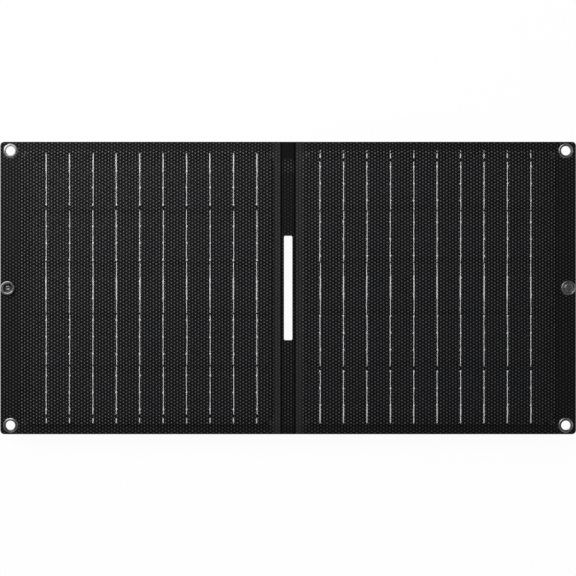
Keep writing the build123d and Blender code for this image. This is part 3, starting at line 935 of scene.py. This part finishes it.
    def build(self) -> List[Object]:
        """Make both sheets and put them in the frame."""
        label = self.side.label
        film = self.make_film()
        cloth = self.make_cloth()
        nodes = [f"{label}_{part}" for part in ("front_film", "front_encapsulant", "edge_encapsulant")]
        cloths = [f"{label}_rear_fabric", f"{label}_crease_strip"]
        if self.side is Side.LEFT:
            nodes += ["spine_front_film", "spine_core"]
            cloths += ["spine_rear_fabric"]
        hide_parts(*nodes)
        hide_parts(*cloths)
        self.bend_at_crease(film)
        self.bend_at_crease(cloth)
        return [film, cloth]


# ---- cells
@dataclass
class Ribbons:
    """Silver ribbons of one wing, with their solder pads."""

    side: Side
    material: Material
    solder: Material
    count: int = 10
    edge: float = 10.0
    rows: int = 5
    strip: float = 36.4
    gap: float = 3.6
    setbacks: Tuple[float, ...] = (2.8, 0.9, 0.7, 0.9, 3.2)
    under: float = 12.0
    exit: float = 8.2
    exit_skew: float = 0.2
    stub: float = 5.35
    stub_skew: float = 0.45
    width: float = 0.6
    broad: float = 0.92
    aside: float = 0.5
    thick: float = 0.22
    pad_first: float = 6.5
    pad_pitch: float = 13.0
    pad_long: float = 1.7
    pad_wide: float = 1.2
    sway: float = 0.16
    pad_points: int = 14
    pad_section: Tuple[Point2, ...] = ((1.0, 0.0), (0.92, 0.16), (0.6, 0.23))
    broad_above: float = 91.5
    broad_within: float = 8.0
    broad_below: float = -95.5
    block_low: float = span("left_cell_strip_1", 1)[0]
    chance: random.Random = field(default_factory=random.Random)

    def row_low(self, row: int) -> float:
        """Lower edge of a row of cells."""
        return self.block_low + row * (self.strip + self.gap)

    def section(self, middle: float, y: float, z: float, width: float) -> List[Point3]:
        """Rounded cross-section of a ribbon."""
        half = width / 2
        spots = [(-half, 0.0), (-0.8 * half, 0.6), (-0.35 * half, 1.0), (0.35 * half, 1.0),
                 (0.8 * half, 0.6), (half, 0.0)]
        return [(*self.side.place(middle + x, y), z + self.thick * h) for x, h in spots]

    def path(self, row: int) -> List[Tuple[float, float]]:
        """(y, height) along a ribbon of a row; row -1 holds the stubs."""
        bus = AT.cell_back - self.thick + 0.07
        if row < 0:
            low = self.row_low(0)
            end = low - self.stub + self.stub_skew * self.side.value
            return [(end, bus), (low - 0.2, bus), (low + 0.5, bus - 0.1), (low + 6, bus - 0.1)]
        high = self.row_low(row) + self.strip
        start = self.row_low(row) + self.setbacks[row]
        if row == self.rows - 1:
            return [(start, AT.cell_front), (high + 0.4, AT.cell_front), (high + 2.4, bus),
                    (high + self.exit + self.exit_skew * self.side.value, bus)]
        back = AT.cell_back - self.thick - 0.03
        return [(start, AT.cell_front), (high + 0.8, AT.cell_front),
                (high + self.gap - 0.5, back), (high + self.gap + self.under, back)]

    def is_broad(self, y: float) -> bool:
        """Whether a ribbon is pressed broader at a place along the wing."""
        return y > self.broad_above or abs(y) < self.broad_within or y < self.broad_below

    def dense(self, path: Sequence[Tuple[float, float]], step: float = 1.6) -> List[Tuple[float, float]]:
        """Divide a path into short runs."""
        out = []
        for (y0, z0), (y1, z1) in zip(path, path[1:]):
            count = max(1, int((y1 - y0) / step))
            out += [(y0 + (y1 - y0) * k / count, z0 + (z1 - z0) * k / count) for k in range(count)]
        out.append(path[-1])
        return out

    def add_ribbon(self, shape: Shape, middle: float, row: int) -> None:
        """One ribbon, closed at both ends."""
        sections = []
        offset = self.chance.uniform(-self.sway, self.sway)
        lean = self.chance.uniform(-self.sway, self.sway) / self.strip
        start = self.path(row)[0][0]
        for y, z in self.dense(self.path(row)):
            width = self.broad if self.is_broad(y) else self.width
            drift = offset + lean * (y - start) + 0.04 * math.sin(0.5 * y + middle)
            sections.append(shape.ring(self.section(middle + drift, y, z, width)))
        shape.tube(sections)

    def add_pad(self, shape: Shape, middle: float, y: float) -> None:
        """One low solder pad over a ribbon."""
        base = AT.cell_front + 0.05
        middle += self.chance.uniform(-self.sway, self.sway)
        y += self.chance.uniform(-self.sway, self.sway)
        turn = [2 * math.pi * k / self.pad_points for k in range(self.pad_points)]
        rows = []
        for reach, rise in self.pad_section:
            wide, long = reach * self.pad_wide / 2, reach * self.pad_long / 2
            rows.append(shape.ring((*self.side.place(middle + wide * math.cos(a), y + long * math.sin(a)),
                                    base + rise) for a in turn))
        shape.tube(rows, material=1)

    def pad_places(self) -> List[float]:
        """Pads along the wing: one run of the uncut cell, spread over its strips."""
        places = []
        along = self.pad_first
        while along < self.rows * self.strip:
            row = int(along // self.strip)
            within = along - row * self.strip
            if self.setbacks[row] < within:
                places.append(self.row_low(row) + within)
            along += self.pad_pitch
        return places

    def build(self) -> Object:
        """All ribbons of the wing as one piece."""
        shape = Shape()
        self.chance = random.Random(self.side.label)
        pitch = (AT.cell_out - AT.cell_in - 2 * self.edge) / (self.count - 1)
        for k in range(self.count):
            middle = -AT.cell_out + self.edge + k * pitch + self.aside * (0.6 * self.side.value + 0.4)
            for row in range(-1, self.rows):
                self.add_ribbon(shape, middle, row)
            for y in self.pad_places():
                self.add_pad(shape, middle, y)
        obj = shape.finish(f"{self.side.label}_ribbon_set", [self.material, self.solder])
        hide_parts(f"{self.side.label}_cell_ribbons")
        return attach(obj, f"{self.side.label}_wing")


# ---- metal fittings
def fit_turned(side: Side, name: str, node: str, profiles: Sequence[Sequence[Point2]],
               places: Sequence[Point2], material: Material) -> Object:
    """Turn profiles about upright axes and put them in the frame as one piece.

    Args:
        side: The wing that it rides on.
        name: Name of the piece.
        node: CAD node that it replaces.
        profiles: Sections of its solids.
        places: Axes, as on the left wing.
        material: Its finish.

    Returns:
        The piece.
    """
    shape = Shape()
    for profile in profiles:
        for place in places:
            lathe(shape, profile, *side.place(*place))
    obj = shape.finish(name, [material], smooth=TURNED_SHARP)
    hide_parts(node)
    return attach(obj, f"{side.label}_wing")


@dataclass
class Eyelets:
    """The two eyelets of one wing, each rolled over its washer."""

    side: Side
    material: Material
    bore: float = 3.55
    flange: float = 5.65
    rise: float = 0.62

    def profile(self) -> List[Point2]:
        """Section of the eyelet: a rolled rim, a dished flange and a curled tail."""
        face, back = AT.border_face, AT.cloth_back
        top = face + self.rise
        rim = [(self.bore, face), (self.bore, top - 0.3), (self.bore + 0.28, top),
               (self.flange - 0.85, top - 0.05), (self.flange - 0.3, face + 0.4),
               (self.flange, face + 0.12)]
        tail = [(self.flange - 0.08, face), (self.bore + 0.35, face), (self.bore + 0.35, back - 0.36),
                (4.75, back - 0.37), (4.8, back - 0.62), (4.45, back - 0.72),
                (self.bore + 0.3, back - 0.66), (self.bore + 0.02, back - 0.35)]
        return soften(rim, 0.3) + tail

    def washer(self) -> List[Point2]:
        """Section of the washer on the back."""
        back = AT.cloth_back
        return [(3.92, back - 0.34), (5.2, back - 0.34), (self.flange, back - 0.22), (self.flange, back),
                (3.92, back)]

    def build(self) -> List[Object]:
        """Both eyelets as one piece and both washers as another.

        Returns:
            The two pieces.
        """
        places = [(-AT.eyelet_x, -AT.eyelet_y), (-AT.eyelet_x, AT.eyelet_y)]
        label = self.side.label
        return [fit_turned(self.side, f"{label}_{node}_metal", f"{label}_{node}", [profile], places,
                           self.material)
                for profile, node in ((self.profile(), "eyelets"), (self.washer(), "eyelet_washers"))]


@dataclass
class RingSnap:
    """The snap that holds the folded charger shut: a socket on the left, a stud on the right."""

    metal: Material
    # grimy: nickel with painted shade in the socket's cavity.
    grimy: Material
    x: float = 215.5
    radius: float = 5.6
    cavity: float = 3.4
    height: float = 2.8
    boss: float = 3.1

    def socket_profile(self) -> List[Point2]:
        """Section of the socket."""
        z = AT.border_face
        corners = [(1.45, z + 0.02), (5.3, z + 0.02), (self.radius, z + 0.3), (self.radius, z + 1.9),
                   (5.0, z + self.height), (4.1, z + self.height), (self.cavity, z + 2.3),
                   (self.cavity, z + 0.9), (3.2, z + 0.45), (1.45, z + 0.4)]
        return soften(corners, 0.4)

    def socket_rivet_profile(self) -> List[Point2]:
        """Section of the rivet in the socket's floor."""
        z = AT.border_face
        corners = [(0.0, z + 0.45), (0.55, z + 0.5), (0.85, z + 1.02), (1.5, z + 1.08), (1.88, z + 0.75),
                   (1.75, z + 0.42), (1.35, z + 0.4), (1.35, z - 1.0), (0.0, z - 1.0)]
        return soften(corners, 0.25)

    def stud_profile(self) -> List[Point2]:
        """Section of the stud."""
        z = AT.border_face
        corners = [(0.0, z + 2.42), (1.9, z + 2.44), (2.75, z + 2.5), (self.boss, z + 2.1),
                   (self.boss - 0.02, z + 1.5), (2.85, z + 1.1), (2.9, z + 0.5), (3.6, z + 0.4),
                   (4.3, z + 0.45), (4.75, z + 0.78), (5.25, z + 0.8), (self.radius, z + 0.45),
                   (self.radius, z + 0.02), (0.0, z + 0.02)]
        return soften(corners, 0.3)

    def cap_profile(self) -> List[Point2]:
        """Section of a rivet's head on the back."""
        back = AT.cloth_back
        corners = [(0.0, back - 0.6), (3.8, back - 0.56), (5.1, back - 0.4), (5.5, back - 0.1),
                   (5.4, back), (0.0, back)]
        return soften(corners, 0.3)

    def build(self) -> List[Object]:
        """Both halves with their rivets; the spring ring stays as it is.

        Returns:
            The four pieces.
        """
        cap, place = self.cap_profile(), [(-self.x, 0.0)]
        rows = ((Side.LEFT, "socket_shell", "snap_socket", [self.socket_profile()], self.grimy),
                (Side.LEFT, "socket_rivet", "snap_socket_rivet", [self.socket_rivet_profile(), cap],
                 self.metal),
                (Side.RIGHT, "stud_shell", "snap_stud", [self.stud_profile()], self.metal),
                (Side.RIGHT, "stud_rivet", "snap_stud_rivet", [cap], self.metal))
        return [fit_turned(side, name, node, profiles, place, metal)
                for side, name, node, profiles, metal in rows]


# ---- studio
@dataclass
class Studio:
    """Floor, soft lamps, surroundings and the camera over the open charger."""

    view_width: float = 443.1
    aside: float = -0.12
    lens: float = 100.0
    sensor: float = 36.0
    floor_size: float = 6.0
    floor_drop: float = 0.3
    own_light: float = 0.95
    sky: Tuple[Tuple[float, float], ...] = ((0.0, 0.62), (0.55, 0.26), (1.0, 0.05))

    def make_floor(self) -> None:
        """Plain pale floor under the box, white but for a soft shadow, and see-through from below."""
        shape = Shape()
        reach = self.floor_size / MM / 2
        shape.cap(shape.ring((x * reach, y * reach, -self.floor_drop)
                             for x, y in ((-1, -1), (1, -1), (1, 1), (-1, 1))))
        paint = Paint("floor")
        paint.set(Base_Color=(1.0, 1.0, 1.0), Roughness=0.9)
        camera, glossy, through = (paint.node("ShaderNodeLightPath", {}, {}, f"Is {ray} Ray")
                                   for ray in ("Camera", "Glossy", "Transmission"))
        seen = camera.most(glossy).most(through) * self.own_light
        glow = paint.node("ShaderNodeEmission", {}, {"Color": (1, 1, 1), "Strength": 1.0})
        lit = Wire(paint, paint.shader.outputs[0])
        blend = paint.node("ShaderNodeMixShader", {}, {0: seen, 1: lit, 2: glow})
        below = paint.node("ShaderNodeNewGeometry", {}, {}, "Backfacing")
        clear = paint.node("ShaderNodeBsdfTransparent", {}, {})
        sided = paint.node("ShaderNodeMixShader", {}, {0: below, 1: blend, 2: clear})
        paint.feed(paint.tree.nodes["Material Output"].inputs[0], sided)
        shape.finish("floor", [paint.material])

    def make_world(self) -> None:
        """Dim overhead and bright at the horizon; white behind the charger."""
        world = bpy.data.worlds.new("surroundings")
        world.use_nodes = True
        bpy.context.scene.world = world
        nodes = Nodes(world.node_tree)
        back = nodes.tree.nodes["Background"]
        up = nodes.axis(nodes.node("ShaderNodeTexCoord", {}, {}, "Generated"), 2)
        ramp = nodes.node("ShaderNodeValToRGB", {"stops": self.sky}, {0: up})
        camera = nodes.node("ShaderNodeLightPath", {}, {}, "Is Camera Ray")
        nodes.feed(back.inputs[0], nodes.mix(camera, ramp, (1.0, 1.0, 1.0)))
        nodes.feed(back.inputs[1], 1.0)

    def add_lamp(self, name: str, place: Point3, size: float, power: float) -> None:
        """A square soft lamp aimed at the middle of the charger.

        Args:
            name: Its name.
            place: Where it stands, in metres.
            size: Side of its square, in metres.
            power: Watts.
        """
        data = bpy.data.lights.new(name, "AREA")
        data.size = size
        data.energy = power
        lamp = bpy.data.objects.new(name, data)
        lamp.location = place
        lamp.rotation_euler = (-Vector(place)).to_track_quat("-Z", "Y").to_euler()
        bpy.context.scene.collection.objects.link(lamp)

    def make_camera(self) -> None:
        """Camera straight above the spine, with the whole open charger in view."""
        data = bpy.data.cameras.new("camera")
        data.lens = self.lens
        data.sensor_width = self.sensor
        distance = self.view_width * self.lens / self.sensor
        camera = bpy.data.objects.new("camera", data)
        camera.location = (self.aside * MM, 0, (AT.border_face + distance) * MM)
        data.clip_start = 0.01
        data.clip_end = 50
        bpy.context.scene.collection.objects.link(camera)
        bpy.context.scene.camera = camera

    def build(self) -> None:
        """Everything round the charger."""
        self.make_camera()
        self.make_floor()
        self.make_world()
        self.add_lamp("key", (-0.48, 0.60, 0.75), 0.9, 12.0)
        self.add_lamp("fill", (1.0, 0.1, 1.0), 1.0, 2.0)
        self.add_lamp("low", (-0.2, -1.1, 0.9), 1.0, 2.0)
        self.add_lamp("under key", (-0.6, -0.8, -1.0), 1.0, 16.0)
        self.add_lamp("under fill", (0.9, 0.5, -0.9), 1.0, 8.0)
        bpy.context.scene.view_settings.view_transform = "Standard"


# ---- carried-over nodes
def grey(level: float, blue: float = 0.0) -> Colour:
    """An even grey, with a little more or less blue."""
    return (level, level, level + blue)


def carried_over() -> Dict[Union[CellFinish, MouldedFinish, MetalFinish, ClearFinish], List[str]]:
    """CAD nodes that keep their own shape, by finish.

    Returns:
        The nodes that each finish covers.
    """
    sides = [side.label for side in Side]
    moulded, metal = MouldedFinish, MetalFinish
    return {
        CellFinish(): [f"{side}_cell_strip_{k}" for side in sides for k in range(1, 6)],
        moulded("encapsulant", grey(0.0035, 0.0005), grey(0.006, 0.001), shine=0.08):
            [f"{side}_rear_encapsulant" for side in sides],
        moulded("stiffener_board", shine=0.1): [f"{side}_stiffener_board" for side in sides],
        metal("bus_bar", grey(0.03), grey(0.015), 0.0, 0.5): [f"{side}_bus_bars" for side in sides],
        metal("spring_steel", grey(0.5), grey(0.34, 0.01)): ["snap_spring_ring", "port_cover_pin"],
        moulded("box_plastic"): ["box_lid", "box_base"],
        moulded("seal_rubber", rough=0.7): ["box_gasket"],
        moulded("cover_rubber", rough=0.7, depth=0.02): ["port_cover"],
        metal("screw_steel", grey(0.05), grey(0.02), 0.6, 0.4): ["box_screws"],
        metal("port_shell", grey(0.62, -0.01), grey(0.5)): ["usb_a_shell", "usb_c_shell"],
        moulded("port_plastic"): ["usb_a_tongue", "usb_c_tongue"],
        moulded("circuit_board", (0.006, 0.05, 0.02), (0.012, 0.09, 0.04), 0.35): ["circuit_board"],
        moulded("ferrite", grey(0.03), grey(0.06)): ["inductor"],
        metal("capacitor_can", grey(0.62, 0.02), grey(0.5, 0.02)): ["capacitors"],
        moulded("chip_epoxy", rough=0.4): ["controller_chip"],
        moulded("led_package", grey(0.7, -0.04), grey(0.8, -0.04)): ["indicator_led"],
        ClearFinish(): ["indicator_lens"],
        metal("copper_lead", (0.7, 0.42, 0.28), (0.6, 0.36, 0.24)):
            ["negative_lead", "return_lead", "spine_jumpers"]}


def dress(nodes: Dict[str, Object]) -> None:
    """Give the carried-over nodes their finishes.

    Args:
        nodes: The frame's nodes by name.
    """
    for finish, names in carried_over().items():
        material = finish.make()
        for name in names:
            data = nodes[name].data
            data.materials.clear()
            data.materials.append(material)
        LOG.info("dressed %s", ", ".join(names))


def main() -> None:
    """Build every sub-assembly in order and log it."""
    logging.basicConfig(level=logging.INFO, format="%(message)s")
    Studio().build()
    film, underside, cloth = FilmFinish().make(), UndersideFinish().make(), ClothFinish().make()
    tinned = {"metal": 0.15, "rough": 0.38, "spread": 0.15, "grain": 900.0, "depth": 0.02, "relief": 0.5}
    ribbon = MetalFinish("cell_ribbon", grey(0.82, -0.01), grey(0.66), **tinned).make()
    solder = MetalFinish("solder", grey(0.84, -0.01), grey(0.72), **tinned).make()
    # snap_nickel: the socket's nickel, with painted shade in its low parts.
    nickel, snap_nickel = NickelFinish().make(), NickelFinish("snap_nickel", grime=0.85).make()
    pieces = []
    for side in Side:
        pieces += Laminate(side, film, underside, cloth).build()
        pieces.append(Ribbons(side, ribbon, solder).build())
        pieces += Eyelets(side, nickel).build()
    pieces += RingSnap(nickel, snap_nickel).build()
    for piece in pieces:
        LOG.info("made %s", piece.name)
    dress(frame["nodes"])


if __name__ == "__main__":
    main()
